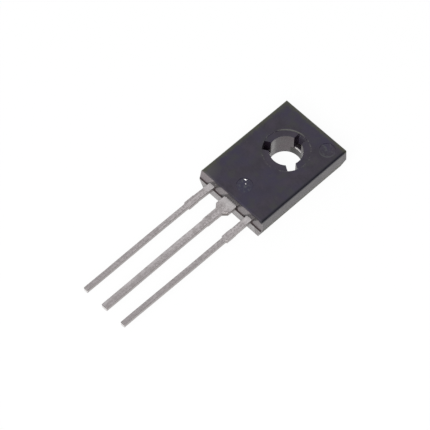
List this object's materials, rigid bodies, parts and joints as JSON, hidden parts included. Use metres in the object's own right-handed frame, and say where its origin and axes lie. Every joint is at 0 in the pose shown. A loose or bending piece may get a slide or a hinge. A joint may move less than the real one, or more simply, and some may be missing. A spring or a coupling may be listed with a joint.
{
  "type": "pnp power transistor",
  "caption": "Flat moulded power transistor with a notched fixing hole, an exposed metal back plate and three straight tinned leads on one end.",
  "frame": {"origin": "centre of the fixing hole on the mounting face, the flat back of the case", "axes": "+X across the case, +Y away from the leads, +Z along the fixing hole and out of the plain front face; the leads run along -Y"},
  "size_m": [0.0076, 0.0257, 0.0026],
  "materials": {
    "epoxy": "satin moulded epoxy, dark slate",
    "tinned_copper": "dull hot-dip tin over copper",
    "silicon": "polished silicon",
    "solder": "dull solder",
    "bond_wire": "drawn aluminium"
  },
  "bodies": {
    "root": {"epoxy_case": "epoxy", "collector_leadframe": "tinned_copper", "emitter_lead": "tinned_copper", "base_lead": "tinned_copper", "silicon_die": "silicon", "die_solder": "solder", "emitter_bond_wire": "bond_wire", "base_bond_wire": "bond_wire"}
  },
  "joints": []
}
